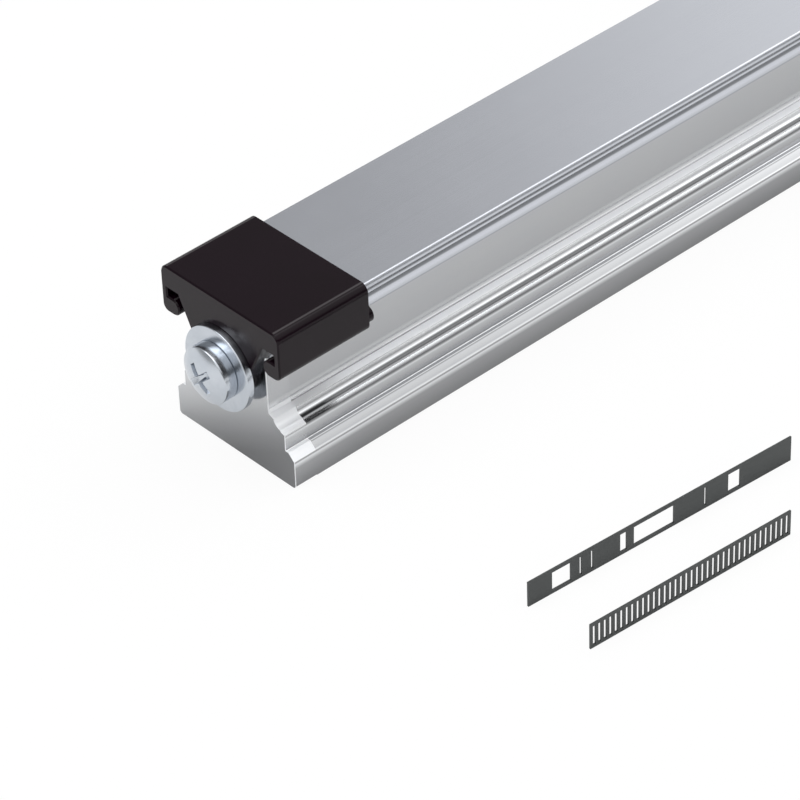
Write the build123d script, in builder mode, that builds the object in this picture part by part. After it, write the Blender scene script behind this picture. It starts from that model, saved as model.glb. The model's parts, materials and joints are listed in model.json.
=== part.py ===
from build123d import *

import os
from math import radians, tan

# Profiled guide rail with a sealed position scale in each side of its foot.
# Millimetres. Z is up from the seating face, Y runs along the rail, and the origin is at
# the middle of the seating face. The near end faces -Y and the far end faces +Y.

# Rail: length and mounting holes
hole_pitch = 60.0
hole_count = 4
hole_end_distance = 28.0
bolt_hole_radius = 3.5
counterbore_radius = 5.5
counterbore_depth = 9.0

# Rail: foot and shoulder
foot_half = 11.5
foot_side_height = 4.4
foot_chamfer = 1.02
bottom_chamfer = 0.3
shoulder_half = 9.85
shoulder_height = 2.5
shoulder_fillet = 0.2

# Rail: lower raceway, with the upper one as its mirror image
bead_half = 9.3
bead_rise = 0.24
bead_radius = 0.35
lip_half = 8.95
lip_rise = 0.5
groove_radius = 1.65
groove_half = 7.95
groove_rise = 1.18
web_half = 6.95
web_slope_half = 7.12
web_slope_rise = 0.38
web_fillet_rise = 0.62

# Rail: head
overall_height = 24.45
head_half = 9.62
head_depth = 3.39
head_flank_rise = 0.51
head_corner = 0.25

# Rail: end zones that taper slightly above the shoulder, and the thread for the cap screw
end_zone = 3.8
end_relief = 0.06
end_chamfer = 0.06
screw_drop = 9.63
screw_hole_radius = 2.05
screw_hole_depth = 12.0

# Cover strip, clipped over the head
strip_thickness = 0.2
strip_gap = 0.02
strip_side_gap = 0.03
strip_side = 0.3
strip_leg = 3.77
strip_corner_radius = 0.3
strip_end_inset = 0.3
bead_groove_count = 2
bead_groove_pitch = 0.75
bead_groove_radius = 0.75
bead_groove_drop = 0.3

# Scale groove in each foot side, and the layers in it
code_height = 3.95
code_thickness = 0.25
tape_thickness = 0.15
foil_thickness = 0.2
groove_play = 0.025
groove_floor = 0.2
seal_length = 1.5

# Code pattern
code_period = 0.9
code_slot = 0.45
code_slot_height = 3.05
window_height = 2.9
absolute_cell = 1.7
register_start = (1, 0, 0, 1, 1, 0, 1)
register_tap_count = 5

# Loose lengths of code strip, standing beside the rail: windows are (start, length)
loose_absolute_length = 44.6
loose_absolute_start = (49.57, -112.99)
loose_absolute_turn = 4.5
loose_windows = (
    (3.9, 3.1),
    (8.45, 0.34),
    (10.35, 0.34),
    (15.2, 1.1),
    (17.5, 6.8),
    (29.5, 0.34),
    (33.6, 2.1),
)
loose_incremental_slots = 37
loose_incremental_margin = 0.18
loose_incremental_start = (60.69, -113.17)
loose_incremental_turn = 4.3

# End cap
cap_gap = 0.05
cap_grip = 14.1
cap_front_wall = 1.4
cap_side_wall = 1.4
cap_top_wall = 0.95
cap_clearance = 0.1
cap_top_clearance = 0.05
cap_corner_radius = 1.3
cap_edge_chamfer = 0.2
cap_foot_radius = 1.15
leg_clearance = 0.13
slot_height = 1.4
slot_undercut = 0.38
lobe_centre_half = 9.4
lobe_radius = 1.25
lobe_overhang = 1.5
nose_half = 8.2
nose_slope = 26.2
boss_radius = 4.6

# Cap washer and cap screw
seat_gap = 0.02
washer_radius = 6.23
washer_thickness = 1.0
washer_play = 0.15
washer_edge = 0.12
head_radius = 4.17
head_height = 2.05
head_edge_chamfer = 0.22
head_dome = 1.05
shank_radius = 2.0
shank_length = 10.0
shank_chamfer = 0.4
recess_length = 4.4
recess_width = 1.0
recess_depth = 0.7
recess_start = 0.1
recess_taper = 9.0
recess_turn = 41.0

# Sizes that follow from the ones above
rail_length = (hole_count - 1) * hole_pitch + 2 * hole_end_distance
half_length = rail_length / 2
rail_height = overall_height - strip_thickness - strip_gap
upper_bead_height = rail_height - head_depth
screw_height = overall_height - screw_drop
ledge_height = foot_side_height + foot_chamfer
shoulder_top = ledge_height + shoulder_height
bead_height = shoulder_top + bead_rise
raceway_mirror_height = (bead_height + upper_bead_height) / 2
lip_height = shoulder_top + lip_rise
groove_height = lip_height + groove_rise
web_slope_height = groove_height + web_slope_rise
web_low = web_slope_height + web_fillet_rise
strip_ceiling = rail_height + strip_gap
strip_low_edge = overall_height - strip_leg
strip_inner_half = head_half + strip_side_gap
strip_half = strip_inner_half + strip_side
scale_height = code_height + 2 * groove_play
scale_middle = groove_floor + scale_height / 2
scale_depth = tape_thickness + code_thickness + foil_thickness
scale_length = rail_length - 2 * end_zone
code_length = scale_length - 2 * seal_length
cap_inner_half = strip_half + cap_clearance
cap_half = cap_inner_half + cap_side_wall
cap_ceiling = overall_height + cap_top_clearance
cap_top = cap_ceiling + cap_top_wall
slot_floor = strip_low_edge - leg_clearance
lobe_height = slot_floor - lobe_radius
cap_foot_height = lobe_height - lobe_radius
slot_roof = slot_floor + slot_height
cap_front = cap_gap + cap_front_wall
washer_seat = cap_front + seat_gap
screw_seat = washer_seat + washer_thickness + seat_gap

os.makedirs("parts", exist_ok=True)


def save(part, name):
    """Label a finished piece and write it under the same name."""
    part.label = name
    export_step(part, f"parts/{name}.step")


def section_plane(y):
    """Plane across the rail at y: its X is the rail's X, and its Y points up."""
    return Plane(origin=(0, y, 0), x_dir=(1, 0, 0), z_dir=(0, -1, 0))


def end_plane(sign):
    """Plane of the rail's end face, with its normal pointing away from the rail."""
    return Plane(origin=(0, sign * half_length, 0), x_dir=(-sign, 0, 0), z_dir=(0, sign, 0))


def draw_rail_outline(relief, inset=0.0):
    """Section of the rail: above the shoulder, relief draws its sides in and inset lowers its top."""
    fillet_start = (shoulder_half + shoulder_fillet, ledge_height)
    fillet_end = (shoulder_half, ledge_height + shoulder_fillet)
    bead = (bead_half - relief, bead_height)
    lip = (lip_half - relief, lip_height)
    groove_end = (groove_half - relief, groove_height)
    slope_end = (web_slope_half - relief, web_slope_height)
    web_start = (web_half - relief, web_low)
    with BuildLine() as outline:
        Polyline(
            (0, 0),
            (foot_half - bottom_chamfer, 0),
            (foot_half, bottom_chamfer),
            (foot_half, foot_side_height),
            (foot_half - foot_chamfer, ledge_height),
            fillet_start,
        )
        TangentArc(fillet_start, fillet_end, tangent=(-1, 0))
        Polyline(fillet_end, (shoulder_half, shoulder_top), bead)
        raceway = [
            RadiusArc(bead, lip, -bead_radius),
            RadiusArc(lip, groove_end, groove_radius),
            Line(groove_end, slope_end),
            TangentArc(web_start, slope_end, tangent=(0, -1)),
        ]
        mirror(raceway, about=Plane.XZ.offset(-raceway_mirror_height))
        upper_web = 2 * raceway_mirror_height - web_low
        Line(web_start, (web_half - relief, upper_web))
        Polyline(
            (bead_half - relief, upper_bead_height),
            (head_half - relief, upper_bead_height + head_flank_rise),
            (head_half - relief, rail_height - head_corner - inset),
            (head_half - relief - head_corner, rail_height - inset),
            (0, rail_height - inset),
        )
        mirror(about=Plane.YZ)
    make_face(outline.edges())


# Guide rail
main_half = half_length - end_zone
with BuildPart() as guide_rail:
    with BuildSketch(section_plane(main_half)):
        draw_rail_outline(0)
    extrude(amount=2 * main_half)
    for sign in (-1, 1):
        with BuildSketch(section_plane(sign * main_half)):
            draw_rail_outline(0)
        with BuildSketch(section_plane(sign * (half_length - end_chamfer))):
            draw_rail_outline(end_relief)
        with BuildSketch(section_plane(sign * half_length)):
            draw_rail_outline(end_relief + end_chamfer, end_chamfer)
        loft(ruled=True)
    with Locations(Location((0, 0, rail_height))):
        with GridLocations(0, hole_pitch, 1, hole_count):
            CounterBoreHole(bolt_hole_radius, counterbore_radius, counterbore_depth)
    for sign in (-1, 1):
        with Locations(end_plane(sign)):
            with Locations((0, screw_height)):
                Hole(screw_hole_radius, screw_hole_depth)
    for side in (-1, 1):
        with BuildSketch(section_plane(scale_length / 2)):
            with Locations((side * (foot_half - scale_depth / 2), scale_middle)):
                Rectangle(scale_depth, scale_height)
        extrude(amount=scale_length, mode=Mode.SUBTRACT)
save(guide_rail.part, "guide_rail")


# Cover strip, with bead grooves that stiffen its legs
strip_length = rail_length - 2 * strip_end_inset
with BuildPart() as cover_strip:
    with BuildSketch(section_plane(strip_length / 2)) as strip_section:
        with Locations((0, (overall_height + strip_low_edge) / 2)):
            Rectangle(2 * strip_half, overall_height - strip_low_edge)
        fillet(strip_section.vertices().group_by(Axis.Y)[-1], strip_corner_radius)
        with Locations((0, (strip_ceiling + strip_low_edge) / 2)):
            Rectangle(2 * strip_inner_half, strip_ceiling - strip_low_edge, mode=Mode.SUBTRACT)
        half_chord = bead_groove_pitch / 2
        inset = (bead_groove_radius ** 2 - half_chord ** 2) ** 0.5
        for side in (-1, 1):
            for index in range(bead_groove_count):
                height = overall_height - bead_groove_drop - (index + 0.5) * bead_groove_pitch
                with Locations((side * (strip_half + inset), height)):
                    Circle(bead_groove_radius, mode=Mode.SUBTRACT)
    extrude(amount=strip_length)
save(cover_strip.part, "cover_strip")


def register_cells(count):
    """Cells of a chain code: each new one is the exclusive or of two older ones."""
    cells = list(register_start)
    while len(cells) < count:
        cells.append(cells[-len(register_start)] ^ cells[-register_tap_count])
    return cells[:count]


def cut_windows(windows, length):
    """Cut see-through windows, each a start and a length from the strip's left end."""
    for start, width in windows:
        with Locations((start + width / 2 - length / 2, 0)):
            Rectangle(width, window_height, mode=Mode.SUBTRACT)


def absolute_windows(length):
    """Join neighbouring cells of the chain code that are open into windows."""
    count = int((length - 2 * absolute_cell) / absolute_cell)
    margin = (length - count * absolute_cell) / 2
    windows = []
    for index, cell in enumerate(register_cells(count)):
        start = margin + index * absolute_cell
        if cell and windows and abs(windows[-1][0] + windows[-1][1] - start) < absolute_cell / 2:
            windows[-1] = (windows[-1][0], windows[-1][1] + absolute_cell)
        elif cell:
            windows.append((start, absolute_cell))
    return windows


def side_plane(side, depth):
    """Upright plane in a foot side, at the given depth, with its normal pointing outwards."""
    x = side * (foot_half - depth)
    return Plane(origin=(x, 0, scale_middle), x_dir=(0, side, 0), z_dir=(side, 0, 0))


# Layers sealed in the two scale grooves: tape, code strip, foil, and a seal at each end
code_depth = foil_thickness + code_thickness
for side, kind in ((1, "incremental"), (-1, "absolute")):
    with BuildPart() as backing_tape:
        with BuildSketch(side_plane(side, scale_depth)):
            Rectangle(code_length, code_height)
        extrude(amount=tape_thickness)
    save(backing_tape.part, f"{kind}_backing_tape")

    with BuildPart() as code_strip:
        with BuildSketch(side_plane(side, code_depth)):
            Rectangle(code_length, code_height)
            if kind == "incremental":
                slots = int(code_length / code_period) - 1
                with GridLocations(code_period, 0, slots, 1):
                    Rectangle(code_slot, code_slot_height, mode=Mode.SUBTRACT)
            else:
                cut_windows(absolute_windows(code_length), code_length)
        extrude(amount=code_thickness)
    save(code_strip.part, f"{kind}_code_strip")

    with BuildPart() as cover_foil:
        with BuildSketch(side_plane(side, foil_thickness)):
            Rectangle(scale_length, scale_height)
        extrude(amount=foil_thickness)
    save(cover_foil.part, f"{kind}_cover_foil")

    for sign, end in ((-1, "near"), (1, "far")):
        with BuildPart() as groove_seal:
            with BuildSketch(side_plane(side, scale_depth)):
                with Locations((side * sign * (scale_length - seal_length) / 2, 0)):
                    Rectangle(seal_length, scale_height)
            extrude(amount=tape_thickness + code_thickness)
        save(groove_seal.part, f"{end}_{kind}_groove_seal")


def standing_plane(start, turn):
    """Upright plane on the floor from a start point, turned from the rail's direction."""
    base = Plane(origin=(start[0], start[1], code_height / 2), x_dir=(0, 1, 0), z_dir=(1, 0, 0))
    return base.rotated((0, 0, -turn))


# Loose lengths of the two code strips
with BuildPart() as loose_absolute_strip:
    with BuildSketch(standing_plane(loose_absolute_start, loose_absolute_turn)):
        with Locations((loose_absolute_length / 2, 0)):
            Rectangle(loose_absolute_length, code_height)
            for start, width in loose_windows:
                with Locations((start + width / 2 - loose_absolute_length / 2, 0)):
                    Rectangle(width, window_height, mode=Mode.SUBTRACT)
    extrude(amount=-code_thickness)
save(loose_absolute_strip.part, "loose_absolute_strip")

loose_incremental_length = loose_incremental_slots * code_period + 2 * loose_incremental_margin
with BuildPart() as loose_incremental_strip:
    with BuildSketch(standing_plane(loose_incremental_start, loose_incremental_turn)):
        with Locations((loose_incremental_length / 2, 0)):
            Rectangle(loose_incremental_length, code_height)
            with GridLocations(code_period, 0, loose_incremental_slots, 1):
                Rectangle(code_slot, code_slot_height, mode=Mode.SUBTRACT)
    extrude(amount=-code_thickness)
save(loose_incremental_strip.part, "loose_incremental_strip")


def draw_cap_section():
    """Section of the cap behind its front wall: roof, two legs and a bead under each leg."""
    with BuildLine() as outline:
        Polyline(
            (0, cap_ceiling),
            (cap_inner_half, cap_ceiling),
            (cap_inner_half, slot_roof),
            (cap_inner_half + slot_undercut, slot_roof),
            (cap_inner_half + slot_undercut, slot_floor),
            (lobe_centre_half, slot_floor),
        )
        lobe_tip = (lobe_centre_half - lobe_radius, lobe_height)
        lobe_foot = (lobe_centre_half, cap_foot_height)
        RadiusArc((lobe_centre_half, slot_floor), lobe_tip, -lobe_radius)
        RadiusArc(lobe_tip, lobe_foot, -lobe_radius)
        heel = (cap_half - cap_foot_radius, cap_foot_height)
        Line(lobe_foot, heel)
        RadiusArc(heel, (cap_half, cap_foot_height + cap_foot_radius), -cap_foot_radius)
        Polyline(
            (cap_half, cap_foot_height + cap_foot_radius),
            (cap_half, cap_top),
            (0, cap_top),
        )
        mirror(about=Plane.YZ)
    make_face(outline.edges())


def draw_cap_front():
    """Front wall of the cap: full width at the top, then a nose that ends in a round boss."""
    nose_drop = slot_roof - screw_height
    nose_low_half = nose_half - nose_drop * tan(radians(nose_slope))
    with Locations((0, (cap_top + slot_roof) / 2)):
        Rectangle(2 * cap_half, cap_top - slot_roof)
    with BuildLine() as nose:
        Polyline(
            (-nose_half, slot_roof),
            (-nose_low_half, screw_height),
            (nose_low_half, screw_height),
            (nose_half, slot_roof),
            close=True,
        )
    make_face(nose.edges())
    with Locations((0, screw_height)):
        Circle(boss_radius)


# End caps, each with its washer and screw
for sign, end in ((-1, "near"), (1, "far")):
    face = end_plane(sign)
    axis_plane = Plane(origin=(0, sign * half_length, screw_height), x_dir=(0, 0, 1),
                       z_dir=(-sign, 0, 0))
    with BuildPart() as end_cap:
        with BuildSketch(face.offset(cap_front)):
            draw_cap_section()
        extrude(amount=-(cap_front + cap_grip))
        with BuildSketch(face.offset(-cap_grip)):
            with Locations((-lobe_centre_half, lobe_height), (lobe_centre_half, lobe_height)):
                Circle(lobe_radius)
        extrude(amount=-lobe_overhang)
        with BuildSketch(face.offset(cap_gap)):
            draw_cap_front()
        extrude(amount=cap_front_wall)
        fillet(end_cap.edges().filter_by(Axis.Y).group_by(Axis.Z)[-1], cap_corner_radius)
        front_edges = end_cap.faces().sort_by(Axis.Y)[0 if sign < 0 else -1].edges()
        chamfer(front_edges, cap_edge_chamfer)
        with BuildSketch(face):
            with Locations((0, screw_height)):
                Circle(shank_radius + washer_play)
        extrude(amount=cap_front, mode=Mode.SUBTRACT)
    save(end_cap.part, f"{end}_end_cap")

    with BuildPart() as cap_washer:
        with BuildSketch(face.offset(washer_seat)):
            with Locations((0, screw_height)):
                Circle(washer_radius)
                Circle(shank_radius + washer_play, mode=Mode.SUBTRACT)
        extrude(amount=washer_thickness)
        rims = cap_washer.edges().filter_by(GeomType.CIRCLE).group_by(SortBy.RADIUS)[-1]
        chamfer(rims, washer_edge)
    save(cap_washer.part, f"{end}_cap_washer")

    with BuildPart() as cap_screw:
        with BuildSketch(axis_plane):
            with BuildLine() as half_section:
                rim_top = screw_seat + head_height
                corner = (head_radius - head_edge_chamfer, rim_top)
                Polyline(
                    (0, screw_seat - shank_length),
                    (shank_radius - shank_chamfer, screw_seat - shank_length),
                    (shank_radius, screw_seat - shank_length + shank_chamfer),
                    (shank_radius, screw_seat),
                    (head_radius, screw_seat),
                    (head_radius, rim_top - head_edge_chamfer),
                    corner,
                )
                ThreePointArc(corner, (head_radius / 2, rim_top + 0.75 * head_dome),
                              (0, rim_top + head_dome))
                Line((0, rim_top + head_dome), (0, screw_seat - shank_length))
            make_face()
        revolve(axis=Axis((0, 0, screw_height), (0, 1, 0)))
        with BuildSketch(face.offset(rim_top + head_dome + recess_start)):
            with Locations(Location((0, screw_height, 0), recess_turn)):
                Rectangle(recess_length, recess_width)
                Rectangle(recess_width, recess_length)
        extrude(amount=-(recess_start + head_dome + recess_depth), taper=recess_taper,
                mode=Mode.SUBTRACT)
    save(cap_screw.part, f"{end}_cap_screw")
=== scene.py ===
import json
from math import cos, pi, radians, sin, tau

import bmesh
import bpy
import numpy as np
from mathutils import Matrix, Vector


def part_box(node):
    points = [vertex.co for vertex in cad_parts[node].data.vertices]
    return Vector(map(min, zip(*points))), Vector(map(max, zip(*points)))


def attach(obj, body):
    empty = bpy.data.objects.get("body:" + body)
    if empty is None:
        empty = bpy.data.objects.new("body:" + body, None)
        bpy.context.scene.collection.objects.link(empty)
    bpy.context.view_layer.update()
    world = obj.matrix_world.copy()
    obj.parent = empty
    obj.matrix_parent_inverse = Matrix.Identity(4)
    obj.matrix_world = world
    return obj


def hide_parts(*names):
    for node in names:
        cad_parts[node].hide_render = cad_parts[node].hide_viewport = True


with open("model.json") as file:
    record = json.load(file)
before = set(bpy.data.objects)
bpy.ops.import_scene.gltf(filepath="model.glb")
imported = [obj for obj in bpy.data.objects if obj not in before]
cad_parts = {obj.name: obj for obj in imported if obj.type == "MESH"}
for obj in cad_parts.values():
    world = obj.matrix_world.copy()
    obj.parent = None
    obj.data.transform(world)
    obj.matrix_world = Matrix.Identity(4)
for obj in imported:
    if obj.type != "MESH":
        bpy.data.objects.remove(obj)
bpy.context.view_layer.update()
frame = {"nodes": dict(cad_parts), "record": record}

MM = 0.001
scene = bpy.context.scene

# Camera: a long lens, turned to the right of the near end and looking down at it
AIM = Vector((0, -118 * MM, 12 * MM))
AZIMUTH = radians(48.333)
ELEVATION = radians(38.134)
ROLL = radians(-2.307)
DISTANCE = 532.74 * MM
AIM_RIGHT = 21.797 * MM
AIM_DOWN = 2.843 * MM
LENS_MM = 184.63
SENSOR_MM = 36.0


def place_camera():
    """Camera axes: back from azimuth and elevation, right level and then rolled, up across both."""
    back = Vector((sin(AZIMUTH) * cos(ELEVATION), -cos(AZIMUTH) * cos(ELEVATION), sin(ELEVATION)))
    level = Vector((cos(AZIMUTH), sin(AZIMUTH), 0))
    upright = back.cross(level)
    right = level * cos(ROLL) + upright * sin(ROLL)
    up = upright * cos(ROLL) - level * sin(ROLL)
    lens = bpy.data.cameras.new("camera")
    lens.lens = LENS_MM
    lens.sensor_width = SENSOR_MM
    lens.clip_start = 0.01
    lens.clip_end = 20
    camera = bpy.data.objects.new("camera", lens)
    scene.collection.objects.link(camera)
    spot = AIM + back * DISTANCE + right * AIM_RIGHT - up * AIM_DOWN
    turn = Matrix((right, up, back)).transposed().to_4x4()
    camera.matrix_world = Matrix.Translation(spot) @ turn
    scene.camera = camera


place_camera()
scene.view_settings.view_transform = "Standard"


# Node helpers
def new_material(name):
    """An empty node material with its output and one Principled shader."""
    material = bpy.data.materials.new(name)
    material.use_nodes = True
    tree = material.node_tree
    tree.nodes.clear()
    output = tree.nodes.new("ShaderNodeOutputMaterial")
    shader = tree.nodes.new("ShaderNodeBsdfPrincipled")
    tree.links.new(shader.outputs["BSDF"], output.inputs["Surface"])
    return material, tree, shader


def shader_of(material):
    """The node tree of a finished material, and its Principled shader."""
    tree = material.node_tree
    return tree, next(node for node in tree.nodes if node.type == "BSDF_PRINCIPLED")


def new_group(name, inputs, outputs):
    """A shader node group: inputs are (name, default), outputs are (name, socket type)."""
    group = bpy.data.node_groups.new(name, "ShaderNodeTree")
    for label, default in inputs:
        socket = group.interface.new_socket(label, in_out="INPUT", socket_type="NodeSocketFloat")
        socket.default_value = default
    for label, kind in outputs:
        group.interface.new_socket(label, in_out="OUTPUT", socket_type=kind)
    return group, group.nodes.new("NodeGroupInput"), group.nodes.new("NodeGroupOutput")


def feed(tree, socket, value):
    """Set an input: a colour of three numbers, a plain number, or a link from another socket."""
    if isinstance(value, tuple):
        socket.default_value = (*value, 1)
    elif isinstance(value, (int, float)):
        socket.default_value = value
    else:
        tree.links.new(value, socket)


def math_node(tree, operation, first, second=None):
    """One step of arithmetic on one or two values."""
    node = tree.nodes.new("ShaderNodeMath")
    node.operation = operation
    feed(tree, node.inputs[0], first)
    if second is not None:
        feed(tree, node.inputs[1], second)
    return node.outputs[0]


def map_range(tree, value, low, high, to_low, to_high):
    """Carry low to high over to to_low to to_high in a straight line, and hold the ends."""
    node = tree.nodes.new("ShaderNodeMapRange")
    tree.links.new(value, node.inputs["Value"])
    end_shade = (("From Min", low), ("From Max", high), ("To Min", to_low), ("To Max", to_high))
    for label, number in end_shade:
        feed(tree, node.inputs[label], number)
    return node.outputs["Result"]


def mix_colours(tree, factor, low, high, blend_type="MIX"):
    """Blend two colours, each a socket or three numbers, by a factor that is a socket or a number."""
    node = tree.nodes.new("ShaderNodeMix")
    node.data_type = "RGBA"
    node.blend_type = blend_type
    for label, value in (("Factor", factor), ("A", low), ("B", high)):
        feed(tree, node.inputs[label], value)
    return node.outputs["Result"]


def noise_node(tree, coordinate, scale, detail=3.0, roughness=0.55):
    """Cloudy noise between 0 and 1."""
    node = tree.nodes.new("ShaderNodeTexNoise")
    tree.links.new(coordinate, node.inputs["Vector"])
    node.inputs["Scale"].default_value = scale
    node.inputs["Detail"].default_value = detail
    node.inputs["Roughness"].default_value = roughness
    return node.outputs["Fac"]


def object_coordinate(tree, stretch=(1, 1, 1)):
    """Object coordinates times a stretch along each axis."""
    place = tree.nodes.new("ShaderNodeTexCoord")
    mapping = tree.nodes.new("ShaderNodeMapping")
    mapping.inputs["Scale"].default_value = stretch
    tree.links.new(place.outputs["Object"], mapping.inputs["Vector"])
    return mapping.outputs["Vector"]


def scaled_coordinate(tree, size):
    """Object coordinates times a size that a socket gives."""
    scaled = tree.nodes.new("ShaderNodeVectorMath")
    scaled.operation = "SCALE"
    tree.links.new(object_coordinate(tree), scaled.inputs[0])
    tree.links.new(size, scaled.inputs["Scale"])
    return scaled.outputs[0]


def place_parts(tree):
    """Object coordinates and object-space normal, each split into X, Y and Z."""
    parts = []
    place = tree.nodes.new("ShaderNodeTexCoord")
    for label in ("Object", "Normal"):
        split = tree.nodes.new("ShaderNodeSeparateXYZ")
        tree.links.new(place.outputs[label], split.inputs["Vector"])
        parts.append(split.outputs)
    return parts


def bump_from(tree, height, distance):
    """A normal that follows a height, with its full rise in metres."""
    node = tree.nodes.new("ShaderNodeBump")
    node.inputs["Strength"].default_value = 1.0
    node.inputs["Distance"].default_value = distance
    tree.links.new(height, node.inputs["Height"])
    return node.outputs["Normal"]


def grey_ramp(tree, stops):
    """A ramp of greys: stops are (share of the way, grey) from 0 to 1, blended evenly between them."""
    ramp = tree.nodes.new("ShaderNodeValToRGB")
    elements = ramp.color_ramp.elements
    while len(elements) < len(stops):
        elements.new(0.5)
    for element, (share, grey) in zip(elements, stops):
        element.position = share
        element.color = (grey, grey, grey, 1)
    return ramp


def band_ramp(tree, height, bands):
    """Grey by height: bands are (millimetres, grey) from low to high."""
    low, high = bands[0][0], bands[-1][0]
    ramp = grey_ramp(tree, [((level - low) / (high - low), grey) for level, grey in bands])
    tree.links.new(map_range(tree, height, low * MM, high * MM, 0, 1), ramp.inputs["Fac"])
    return ramp.outputs["Color"]


# Effects that several finishes share: scales are per metre, stretches are along the piece
FINE_LINE_STRETCH = (1, 0.002, 1)
FINE_LINE_SCALE = 9000
BROAD_LINE_STRETCH = (1, 0.006, 1)
BROAD_LINE_SCALE = 1400
LARGE_PATCH_SCALE = 60
LARGE_PATCH_SHARE = 0.7
SMALL_PATCH_SCALE = 420
SMALL_PATCH_SHARE = 0.3
SKIN_SCALE = 5200
LINE_SHARE = 0.6
PATCH_SHARE = 0.4


def make_grain_group():
    """Lines along Y: noise drawn out 500 times along the piece, and broader noise about 170 times."""
    group, given, result = new_group(
        "long_grain",
        [("Fine Lines", 0.6)],
        [("Lines", "NodeSocketFloat"), ("Bands", "NodeSocketFloat")],
    )
    fine = noise_node(group, object_coordinate(group, FINE_LINE_STRETCH), FINE_LINE_SCALE, 2.0, 0.6)
    broad = noise_node(group, object_coordinate(group, BROAD_LINE_STRETCH), BROAD_LINE_SCALE, 2.0, 0.5)
    fine_part = math_node(group, "MULTIPLY", fine, given.outputs["Fine Lines"])
    rest = math_node(group, "SUBTRACT", 1.0, given.outputs["Fine Lines"])
    broad_part = math_node(group, "MULTIPLY", broad, rest)
    group.links.new(math_node(group, "ADD", fine_part, broad_part), result.inputs["Lines"])
    group.links.new(broad, result.inputs["Bands"])
    return group


def make_cloud_group():
    """Soft uneven patches: two sizes of noise laid over each other."""
    group, given, result = new_group("soft_patches", [("Size", 1.0)], [("Patches", "NodeSocketFloat")])
    place = scaled_coordinate(group, given.outputs["Size"])
    large = noise_node(group, place, LARGE_PATCH_SCALE, 3.0)
    small = noise_node(group, place, SMALL_PATCH_SCALE, 4.0)
    mixed = math_node(group, "ADD", math_node(group, "MULTIPLY", large, LARGE_PATCH_SHARE),
                      math_node(group, "MULTIPLY", small, SMALL_PATCH_SHARE))
    group.links.new(mixed, result.inputs["Patches"])
    return group


def make_pit_group():
    """Fine all-over texture of a plated or moulded skin, with a height for its bump."""
    group, given, result = new_group(
        "fine_skin",
        [("Density", 1.0)],
        [("Mask", "NodeSocketFloat"), ("Height", "NodeSocketFloat")],
    )
    skin = noise_node(group, scaled_coordinate(group, given.outputs["Density"]), SKIN_SCALE, 4.0, 0.65)
    group.links.new(map_range(group, skin, 0.35, 0.7, 0.0, 1.0), result.inputs["Mask"])
    group.links.new(skin, result.inputs["Height"])
    return group


long_grain = make_grain_group()
soft_patches = make_cloud_group()
fine_skin = make_pit_group()


def use_group(tree, group, **values):
    """Place a group in a material: an underscore in a value's name stands for a space."""
    node = tree.nodes.new("ShaderNodeGroup")
    node.node_tree = group
    for label, value in values.items():
        node.inputs[label.replace("_", " ")].default_value = value
    return node


def colour_and_roughness(tree, shader, mask, limits, dark, light, rough_mask, rough_limits, rough, spread):
    """Let one mask blend the two colours and another move the roughness by a spread to both sides."""
    tree.links.new(mix_colours(tree, map_range(tree, mask, *limits, 0, 1), dark, light),
                   shader.inputs["Base Color"])
    tree.links.new(map_range(tree, rough_mask, *rough_limits, rough - spread, rough + spread),
                   shader.inputs["Roughness"])


def ground_steel(name, dark, light, rough, spread, bump, fine_lines=0.6):
    """Metal with lines along the piece: they shift its colour and roughness and stand up a little."""
    material, tree, shader = new_material(name)
    grain = use_group(tree, long_grain, Fine_Lines=fine_lines)
    patches = use_group(tree, soft_patches, Size=1.0)
    blend = math_node(tree, "ADD", math_node(tree, "MULTIPLY", grain.outputs["Lines"], LINE_SHARE),
                      math_node(tree, "MULTIPLY", patches.outputs["Patches"], PATCH_SHARE))
    colour_and_roughness(tree, shader, blend, (0.35, 0.65), dark, light, blend, (0.3, 0.7), rough, spread)
    shader.inputs["Metallic"].default_value = 1.0
    tree.links.new(bump_from(tree, grain.outputs["Lines"], bump), shader.inputs["Normal"])
    return material


def plated_metal(name, dark, light, rough, spread):
    """Bright zinc: patches of slightly different blue-grey over a fine crystal skin."""
    material, tree, shader = new_material(name)
    patches = use_group(tree, soft_patches, Size=4.0).outputs["Patches"]
    skin = use_group(tree, fine_skin, Density=1.0)
    colour_and_roughness(tree, shader, patches, (0.35, 0.65), dark, light, patches, (0.3, 0.7), rough,
                         spread)
    shader.inputs["Metallic"].default_value = 1.0
    tree.links.new(bump_from(tree, skin.outputs["Height"], 0.002 * MM), shader.inputs["Normal"])
    return material


def moulded_plastic(name, dark, light, rough, spread, specular=0.5):
    """Moulded plastic or rubber: a satin skin with faint patches and a fine texture."""
    material, tree, shader = new_material(name)
    patches = use_group(tree, soft_patches, Size=1.6).outputs["Patches"]
    skin = use_group(tree, fine_skin, Density=0.8)
    colour_and_roughness(tree, shader, patches, (0.3, 0.7), dark, light, skin.outputs["Mask"], (0, 1), rough,
                         spread)
    shader.inputs["Specular IOR Level"].default_value = specular
    tree.links.new(bump_from(tree, skin.outputs["Height"], 0.003 * MM), shader.inputs["Normal"])
    return material
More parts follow.
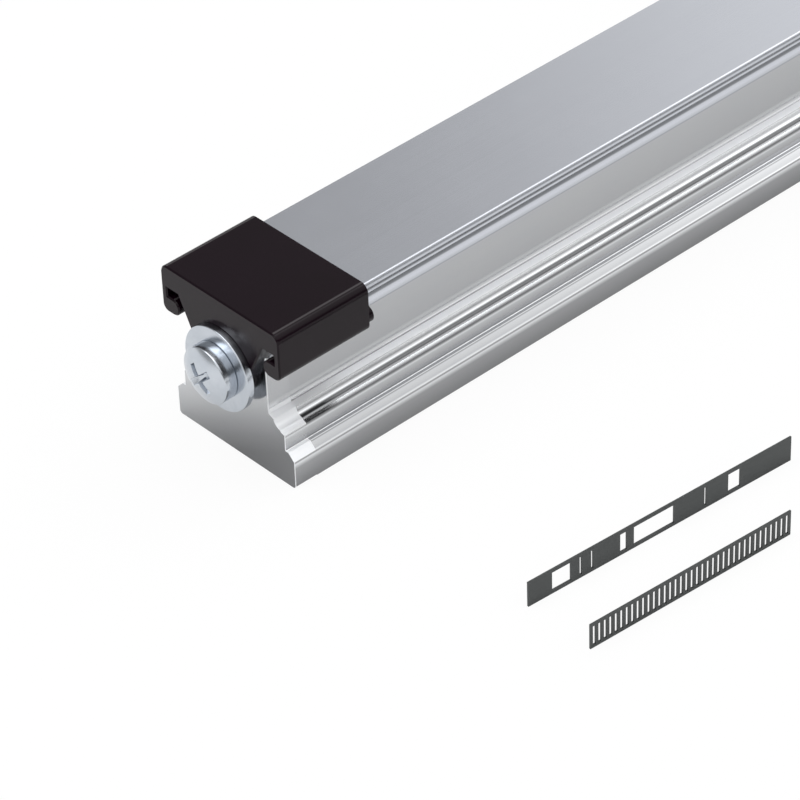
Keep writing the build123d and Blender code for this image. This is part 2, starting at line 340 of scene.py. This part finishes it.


# Greys of the rail's sides by height in millimetres: foot and its chamfer, shoulder, bead, raceway and web,
# then the head. They were set while the render was compared with two columns of the photograph, so they
# hold painted reflections and shadows of that one view too. The same goes for STRIP_BANDS
RAIL_BANDS = (
    (0, 0.27), (3.2, 0.39), (3.95, 0.86), (4.2, 0.30), (4.47, 0.85), (4.56, 0.54), (5.2, 0.62),
    (5.33, 0.28), (5.42, 1.0), (5.5, 0.37), (7.1, 0.56), (7.38, 0.80), (7.65, 0.30), (7.95, 0.11),
    (8.14, 0.95), (8.26, 0.85), (8.36, 0.12), (8.56, 0.10), (8.7, 0.95), (8.98, 0.52), (9.2, 1.0),
    (9.42, 0.88), (9.53, 0.48), (9.62, 1.0), (9.93, 1.0), (9.99, 0.40), (10.06, 1.0), (10.45, 0.55),
    (10.8, 0.74), (11.6, 0.45), (17.9, 0.46), (18.4, 0.90),
)
# Greys of the end faces by height less END_TILT times X: painted shade that darkens them towards the foot.
# And how far a face turns before it counts as one
END_SHADE_BANDS = ((0, 0.25), (2.6, 0.31), (5.0, 0.40), (9.0, 0.57), (12.0, 0.66), (24.0, 0.70))
END_TILT = 0.5
FLANK_TURN = 0.7
FLANK_BLEND = 0.05

# How far each height is matt white in the relieved end zones: a matt finish there, made near white on the
# chamfer and raceway as a painted highlight. The next table paints a sheen of matt white along the whole
# raceway's flanks.
# End zones and the last edge start at distances from the rail's middle, and the last edge of the rail is
# matt white at every height as a painted highlight
MATT_AND_SHEEN_BANDS = (
    (4.3, 0), (4.45, 1.0), (5.43, 1.0), (5.5, 0.10), (7.6, 0.10), (7.85, 0.9), (10.4, 0.9), (10.7, 0.10),
    (18.3, 0.10), (18.5, 0.2),
)
# Painted sheen: matt white along the raceway's flanks over the whole rail
FLANK_SHEEN_BANDS = ((9.06, 0), (9.14, 0.3), (9.44, 0.3), (9.5, 0), (9.58, 0.6), (9.95, 0.6), (10.05, 0))
ZONE_START = 114.2
ZONE_BLEND = 0.03
EDGE_START = 117.84
EDGE_BLEND = 0.02
# Share of matt white along the last edge: a painted highlight
EDGE_HIGHLIGHT = 0.9
# Colour of the matt finish and of the painted highlights
MATT_AND_SHEEN_WHITE = (0.95, 0.95, 0.95)
MATT_METALLIC = 0.2
MATT_ROUGHNESS = 0.5

# Greys of the cover strip's sides by height in millimetres, chosen as RAIL_BANDS were
STRIP_BANDS = (
    (20.6, 0.34), (20.75, 0.55), (20.9, 0.80), (21.5, 1.0), (21.95, 0.95), (22.1, 0.70), (22.25, 0.35),
    (22.6, 0.24), (22.72, 0.65), (22.87, 1.0), (23.0, 0.80), (23.12, 0.30), (23.32, 0.30), (23.5, 0.70),
    (23.67, 1.0), (23.82, 0.70), (23.95, 0.48), (24.2, 0.50), (24.3, 0.98), (24.45, 1.0),
)


def band_rail(material):
    """Sides take their bands, end faces a painted shade darker towards the foot, end zones a matt finish,
    and matt white paints highlights.
    """
    tree, shader = shader_of(material)
    ground = shader.inputs["Base Color"].links[0].from_socket
    rough = shader.inputs["Roughness"].links[0].from_socket
    place, normal = place_parts(tree)
    reach = math_node(tree, "ABSOLUTE", place["Y"])
    zone = map_range(tree, reach, (ZONE_START - ZONE_BLEND) * MM, (ZONE_START + ZONE_BLEND) * MM, 0, 1)
    edge = map_range(tree, reach, (EDGE_START - EDGE_BLEND) * MM, (EDGE_START + EDGE_BLEND) * MM,
                     0, EDGE_HIGHLIGHT)
    # matt finish of the end zones, near white on chamfer and raceway as a painted highlight
    relieved = math_node(tree, "MULTIPLY", zone, band_ramp(tree, place["Z"], MATT_AND_SHEEN_BANDS))
    # painted highlight along the rail's last edge
    matt_and_sheen = math_node(tree, "MAXIMUM", relieved, edge)
    # painted sheen along the raceway's flanks
    matt_and_sheen = math_node(tree, "MAXIMUM", matt_and_sheen, band_ramp(tree, place["Z"], FLANK_SHEEN_BANDS))
    facing = math_node(tree, "ABSOLUTE", normal["Y"])
    flat_end = map_range(tree, facing, FLANK_TURN - FLANK_BLEND, FLANK_TURN + FLANK_BLEND, 0, 1)
    matt_and_sheen = math_node(tree, "MULTIPLY", matt_and_sheen, math_node(tree, "SUBTRACT", 1.0, flat_end))
    sides = mix_colours(tree, matt_and_sheen, band_ramp(tree, place["Z"], RAIL_BANDS), MATT_AND_SHEEN_WHITE)
    across = math_node(tree, "MULTIPLY", place["X"], END_TILT)
    # painted shade: the end faces get darker towards the foot
    end_shade = band_ramp(tree, math_node(tree, "SUBTRACT", place["Z"], across), END_SHADE_BANDS)
    bands = mix_colours(tree, flat_end, sides, end_shade)
    tree.links.new(mix_colours(tree, 1.0, ground, bands, "MULTIPLY"), shader.inputs["Base Color"])
    tree.links.new(map_range(tree, matt_and_sheen, 0, 1, 1.0, MATT_METALLIC), shader.inputs["Metallic"])
    tree.links.new(map_range(tree, matt_and_sheen, 0, 1, rough, MATT_ROUGHNESS), shader.inputs["Roughness"])


def band_strip(material):
    """The sides of the strip take their bands, whose last grey of 1 leaves its top plain."""
    tree, shader = shader_of(material)
    ground = shader.inputs["Base Color"].links[0].from_socket
    place, _ = place_parts(tree)
    sides = band_ramp(tree, place["Z"], STRIP_BANDS)
    tree.links.new(mix_colours(tree, 1.0, ground, sides, "MULTIPLY"), shader.inputs["Base Color"])


# Where the cap's painted highlight line is: limits of the normal's Z, and of its X where the line begins and
# ends
LINE_LEVEL = (0.85, 0.9)
LINE_BEGIN = (0.07, 0.12)
LINE_END = (0.22, 0.3)


def paint_edge_highlight(material, highlight_colour):
    """A painted highlight: a thin lighter line along the long upper edges, where they turn about 5 to 15
    degrees from level.
    """
    tree, shader = shader_of(material)
    ground = shader.inputs["Base Color"].links[0].from_socket
    _, normal = place_parts(tree)
    turned = math_node(tree, "ABSOLUTE", normal["X"])
    above = map_range(tree, normal["Z"], *LINE_LEVEL, 0, 1)
    line = math_node(tree, "MULTIPLY", map_range(tree, turned, *LINE_BEGIN, 0, 1),
                     map_range(tree, turned, *LINE_END, 1, 0))
    highlight_line = math_node(tree, "MULTIPLY", line, above)
    tree.links.new(mix_colours(tree, highlight_line, ground, highlight_colour), shader.inputs["Base Color"])


rail_steel = ground_steel("ground_rail_steel", (0.92, 0.937, 0.97), (0.97, 0.983, 1.0), 0.16, 0.03,
                          0.0002 * MM)
band_rail(rail_steel)
strip_steel = ground_steel("rolled_strip_steel", (0.60, 0.62, 0.67), (0.63, 0.65, 0.70), 0.22, 0.02,
                           0.0001 * MM, 0.8)
band_strip(strip_steel)
foil_steel = ground_steel("foil_steel", (0.92, 0.935, 0.965), (0.975, 0.985, 1.0), 0.2, 0.04,
                          0.0003 * MM)
band_rail(foil_steel)
code_steel = ground_steel("dark_code_steel", (0.086, 0.091, 0.091), (0.108, 0.113, 0.113), 0.5, 0.06,
                          0.0003 * MM)
backing = moulded_plastic("backing_tape", (0.03, 0.03, 0.032), (0.045, 0.045, 0.047), 0.6, 0.05)
sealant = moulded_plastic("cast_sealant", (0.012, 0.012, 0.012), (0.02, 0.02, 0.02), 0.5, 0.06)
cap_black = moulded_plastic("moulded_cap_black", (0.004, 0.0006, 0.0026), (0.0055, 0.001, 0.004),
                            0.18, 0.03, 0.18)
# painted highlight along the cap's long upper edges
paint_edge_highlight(cap_black, (0.05, 0.045, 0.048))
zinc = plated_metal("bright_zinc", (0.50, 0.535, 0.585), (0.585, 0.62, 0.665), 0.2, 0.04)

finish_of_slot = {
    "rail_steel": rail_steel,
    "strip_steel": strip_steel,
    "code_steel": code_steel,
    "backing_tape": backing,
    "foil_steel": foil_steel,
    "groove_seal": sealant,
    "cap_plastic": cap_black,
    "zinc_fastener": zinc,
}
for entry in frame["record"]["subparts"]:
    mesh = frame["nodes"][entry["node"]].data
    mesh.materials.clear()
    mesh.materials.append(finish_of_slot[entry["material_slot"]])


# Cap screws and washers, turned about an axis that points out of the rail's end. Sizes in millimetres
HEAD_RADIUS = 4.17
HEAD_HEIGHT = 2.05
HEAD_DOME = 1.05
HEAD_EDGE = 0.22
HEAD_UNDER_EDGE = 0.14
DOME_SLOPE = radians(28)
DOME_RINGS = 9
DOME_CROWDING = 1.4
RIM_RINGS = 6
UNDER_RINGS = 5

# Cross recess: size at its mouth and floor, a dip at its centre, and the rings that round its lip
ARM_REACH = 2.2
ARM_HALF_WIDTH = 0.5
RECESS_DEPTH = 1.45
RECESS_FLOOR = (0.65, 0.32)
RECESS_TURN = radians(41)
CENTRE_DIP = 0.05
MOUTH_DROP = 0.06
LIP_REACH = 0.025
LIP_DROP = 0.018
LIP_END = 0.07
RECESS_STEPS = (3, 6, 6, 3)

SHANK_RADIUS = 2.0
SHANK_LENGTH = 10.0
SHANK_FILLET = 0.1
TIP_CHAMFER = 0.45
THREAD_PITCH = 0.7
THREAD_DEPTH = 0.42
THREAD_START = 0.35
CREST_SHARE = 0.12
FLANK_SHARE = 0.66
ROWS_PER_PITCH = 8

WASHER_RADIUS = 6.23
WASHER_BORE = 2.15
WASHER_THICKNESS = 1.0
WASHER_STEPS = 144
CORNER_RINGS = 5

WELD_DISTANCE = 0.0005 * MM
SHARP_ANGLE = radians(32)


def cross_reach(angle, reach, half_width):
    """Radius of a cross at an angle: the further of its two bars, each a rectangle about the centre."""
    along = np.maximum(np.abs(np.cos(angle)), 1e-9)
    aside = np.maximum(np.abs(np.sin(angle)), 1e-9)
    level_bar = np.minimum(reach / along, half_width / aside)
    upright_bar = np.minimum(half_width / along, reach / aside)
    return np.maximum(level_bar, upright_bar)


def recess_angles():
    """Angles round the screw, with one at each corner of the recess and even steps between them."""
    tip = np.arctan2(ARM_HALF_WIDTH, ARM_REACH)
    corners = np.array([0, tip, pi / 4, pi / 2 - tip, pi / 2])
    quarter = np.concatenate([np.linspace(low, high, count, endpoint=False)
                              for low, high, count in zip(corners[:-1], corners[1:], RECESS_STEPS)])
    return np.concatenate([quarter + turn * pi / 2 for turn in range(4)])


def head_rings(angle):
    """Radius and height of the head, ring by ring.

    The recess from its floor up, a parabola of a dome, quarter circles at the rim, a flat underside.
    """
    crown = HEAD_HEIGHT + HEAD_DOME
    centre = HEAD_RADIUS - HEAD_EDGE
    dome_radius = centre + HEAD_EDGE * sin(DOME_SLOPE)
    dome_start = HEAD_HEIGHT - HEAD_EDGE * (1 - cos(DOME_SLOPE))

    def dome(radius):
        return dome_start + (crown - dome_start) * (1 - (radius / dome_radius) ** 2)

    cross = cross_reach(angle, ARM_REACH, ARM_HALF_WIDTH)
    floor = cross_reach(angle, *RECESS_FLOOR)
    radii = [floor * 0, floor, cross, cross + LIP_REACH]
    heights = [floor * 0 + crown - RECESS_DEPTH - CENTRE_DIP, floor * 0 + crown - RECESS_DEPTH,
               dome(cross) - MOUTH_DROP, dome(cross + LIP_REACH) - LIP_DROP]
    for share in np.linspace(0, 1, DOME_RINGS) ** DOME_CROWDING:
        radius = (cross + LIP_END) * (1 - share) + dome_radius * share
        radii.append(radius)
        heights.append(dome(radius))
    for turn in np.linspace(DOME_SLOPE, pi / 2, RIM_RINGS)[1:]:
        radii.append(cross * 0 + centre + HEAD_EDGE * sin(turn))
        heights.append(cross * 0 + HEAD_HEIGHT - HEAD_EDGE + HEAD_EDGE * cos(turn))
    for turn in np.linspace(pi / 2, pi, UNDER_RINGS):
        radii.append(cross * 0 + HEAD_RADIUS - HEAD_UNDER_EDGE + HEAD_UNDER_EDGE * sin(turn))
        heights.append(cross * 0 + HEAD_UNDER_EDGE + HEAD_UNDER_EDGE * cos(turn))
    for radius, height in ((SHANK_RADIUS + SHANK_FILLET, 0), (SHANK_RADIUS, -SHANK_FILLET)):
        radii.append(cross * 0 + radius)
        heights.append(cross * 0 + height)
    return np.array(radii), np.array(heights)


def shank_rings(angle):
    """Thread: radius falls from crest to root with the distance from a helix of one pitch a turn."""
    count = int((SHANK_LENGTH - THREAD_START) / THREAD_PITCH * ROWS_PER_PITCH)
    height = np.linspace(-THREAD_START, -SHANK_LENGTH, count)[:, None] + angle[None, :] * 0
    phase = (height / THREAD_PITCH - angle[None, :] / tau) % 1
    flank = np.clip((np.abs(phase - 0.5) * 2 - CREST_SHARE) / FLANK_SHARE, 0, 1)
    run_in = np.clip((-height - THREAD_START) / THREAD_PITCH, 0, 1)
    tip = SHANK_RADIUS - TIP_CHAMFER + (height + SHANK_LENGTH)
    radius = np.minimum(SHANK_RADIUS - THREAD_DEPTH * flank * run_in, tip)
    radii = np.vstack([radius, radius[-1:] * 0])
    return radii, np.vstack([height, height[-1:]])


def turned_piece(name, node, angle, radii, heights, reach_inwards=0.0, looped=False):
    """Rings about a CAD node's axis: across by cosine and sine of the angle, along by the height.

    Height 0 lies reach_inwards outside the node's inner end. A looped profile joins its last ring
    to its first, and any other one ends in a pole at both ends.
    """
    low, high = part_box(node)
    outward = -1 if low.y < 0 else 1
    inner_end = high.y if outward < 0 else low.y
    seat = inner_end + outward * reach_inwards * MM
    rings, points = radii.shape
    across = -outward * radii * np.cos(angle) * MM + (low.x + high.x) / 2
    upward = radii * np.sin(angle) * MM + (low.z + high.z) / 2
    along = seat + outward * heights * MM
    vertices = np.stack([across, along, upward], axis=-1).reshape(-1, 3)
    row = np.arange(rings if looped else rings - 1)[:, None] * points
    next_row = (row + points) % (rings * points)
    column = np.arange(points)[None, :]
    next_column = (column + 1) % points
    faces = np.stack([row + column, next_row + column, next_row + next_column, row + next_column], axis=-1)
    mesh = bpy.data.meshes.new(name)
    mesh.from_pydata(vertices.tolist(), [], faces.reshape(-1, 4).tolist())
    shell = bmesh.new()
    shell.from_mesh(mesh)
    bmesh.ops.remove_doubles(shell, verts=shell.verts, dist=WELD_DISTANCE)
    bmesh.ops.recalc_face_normals(shell, faces=shell.faces)
    shell.to_mesh(mesh)
    shell.free()
    mesh.shade_smooth()
    mesh.set_sharp_from_angle(angle=SHARP_ANGLE)
    mesh.materials.append(zinc)
    piece = bpy.data.objects.new(name, mesh)
    scene.collection.objects.link(piece)
    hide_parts(node)
    return piece


def make_cap_screw(end):
    """Pan-head screw: recess, dome and rim, then its threaded shank, as one column of rings."""
    angle = recess_angles()
    head_radii, head_heights = head_rings(angle)
    shank_radii, shank_heights = shank_rings(angle + RECESS_TURN)
    radii = np.vstack([head_radii, shank_radii])
    heights = np.vstack([head_heights, shank_heights])
    screw = turned_piece(f"{end}_pan_head_screw", f"{end}_cap_screw", angle + RECESS_TURN, radii, heights,
                         reach_inwards=SHANK_LENGTH)
    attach(screw, f"{end}_screw")


def make_cap_washer(end):
    """Stamped washer: a closed loop of radius and height, with quarter circles at its edges."""
    corners = ((WASHER_RADIUS, 0, 0.05, -pi / 2), (WASHER_RADIUS, WASHER_THICKNESS, 0.13, 0),
               (WASHER_BORE, WASHER_THICKNESS, 0.08, pi / 2), (WASHER_BORE, 0, 0.05, pi))
    profile = []
    for radius, height, rounding, first in corners:
        turn = np.linspace(first, first + pi / 2, CORNER_RINGS)
        side = -1 if radius == WASHER_RADIUS else 1
        rise = -1 if height > 0 else 1
        profile.append(np.stack([radius + side * rounding + rounding * np.cos(turn),
                                 height + rise * rounding + rounding * np.sin(turn)], axis=-1))
    profile = np.concatenate(profile)
    angle = np.linspace(0, tau, WASHER_STEPS, endpoint=False)
    radii = profile[:, :1] + angle[None, :] * 0
    heights = profile[:, 1:] + angle[None, :] * 0
    washer = turned_piece(f"{end}_flat_washer", f"{end}_cap_washer", angle, radii, heights, looped=True)
    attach(washer, f"{end}_washer")


for end in ("near", "far"):
    make_cap_screw(end)
    make_cap_washer(end)


# Studio walls: strength by lean from upright in degrees, positive towards +X. They are set for the
# photograph's side, and the metal looks paler from the other sides. Past RISE_START, the share of a
# direction that points towards +Y, the walls get brighter by up to RISE
WALLS = (
    (-180, 0.5), (-75, 0.40), (-38, 0.42), (-18, 1.1), (4, 1.2), (7, 3.2), (11, 3.2), (14, 1.2), (50, 1.0),
    (62, 0.75), (72, 0.14), (92, 0.14), (180, 0.14),
)
RISE_START = 0.54
RISE_END = 0.64
RISE = 0.65

FLOOR_HALF = 3.0
FLOOR_GREY = 0.8
GLOW_TO_CAMERA = 0.92
GLOW_TO_METAL = 0.15


def make_floor():
    """A pale floor that the camera sees as nearly white, with the object's shadow on it."""
    half = FLOOR_HALF
    mesh = bpy.data.meshes.new("floor")
    mesh.from_pydata([(-half, -half, 0), (half, -half, 0), (half, half, 0), (-half, half, 0)], [],
                     [(0, 1, 2, 3)])
    floor = bpy.data.objects.new("floor", mesh)
    scene.collection.objects.link(floor)
    material = bpy.data.materials.new("pale_floor")
    material.use_nodes = True
    tree = material.node_tree
    tree.nodes.clear()
    output = tree.nodes.new("ShaderNodeOutputMaterial")
    diffuse = tree.nodes.new("ShaderNodeBsdfDiffuse")
    feed(tree, diffuse.inputs["Color"], (FLOOR_GREY, FLOOR_GREY, FLOOR_GREY))
    glow = tree.nodes.new("ShaderNodeEmission")
    feed(tree, glow.inputs["Color"], (1, 1, 1))
    path = tree.nodes.new("ShaderNodeLightPath")
    share = math_node(tree, "ADD",
                      math_node(tree, "MULTIPLY", path.outputs["Is Camera Ray"], GLOW_TO_CAMERA),
                      math_node(tree, "MULTIPLY", path.outputs["Is Glossy Ray"], GLOW_TO_METAL))
    mix = tree.nodes.new("ShaderNodeMixShader")
    tree.links.new(share, mix.inputs["Fac"])
    tree.links.new(diffuse.outputs[0], mix.inputs[1])
    tree.links.new(glow.outputs[0], mix.inputs[2])
    tree.links.new(mix.outputs[0], output.inputs["Surface"])
    mesh.materials.append(material)


def make_world():
    """Studio walls by direction: strength by lean from upright, plus a rise towards +Y."""
    world = bpy.data.worlds.new("studio")
    world.use_nodes = True
    tree = world.node_tree
    background = tree.nodes["Background"]
    place = tree.nodes.new("ShaderNodeTexCoord")
    split = tree.nodes.new("ShaderNodeSeparateXYZ")
    tree.links.new(place.outputs["Generated"], split.inputs["Vector"])
    lean = math_node(tree, "ARCTAN2", split.outputs["X"], split.outputs["Z"])
    brightest = max(level for degrees, level in WALLS)
    walls = grey_ramp(tree, [((degrees + 180) / 360, level / brightest) for degrees, level in WALLS])
    tree.links.new(map_range(tree, lean, -pi, pi, 0, 1), walls.inputs["Fac"])
    rise = map_range(tree, split.outputs["Y"], RISE_START, RISE_END, 0, RISE)
    level = math_node(tree, "ADD", math_node(tree, "MULTIPLY", walls.outputs["Color"], brightest), rise)
    tree.links.new(level, background.inputs["Strength"])
    background.inputs["Color"].default_value = (1, 1, 1, 1)
    scene.world = world


def add_lamp(name, spot, target, size, power):
    """A square soft box at spot, facing target: size in metres, power in watts."""
    data = bpy.data.lights.new(name, "AREA")
    data.size = size
    data.energy = power
    lamp = bpy.data.objects.new(name, data)
    lamp.location = spot
    lamp.rotation_euler = (Vector(target) - Vector(spot)).to_track_quat("-Z", "Y").to_euler()
    scene.collection.objects.link(lamp)


make_floor()
make_world()
add_lamp("overhead_box", (-0.25, -0.45, 0.8), (0, -0.08, 0), 0.5, 2)
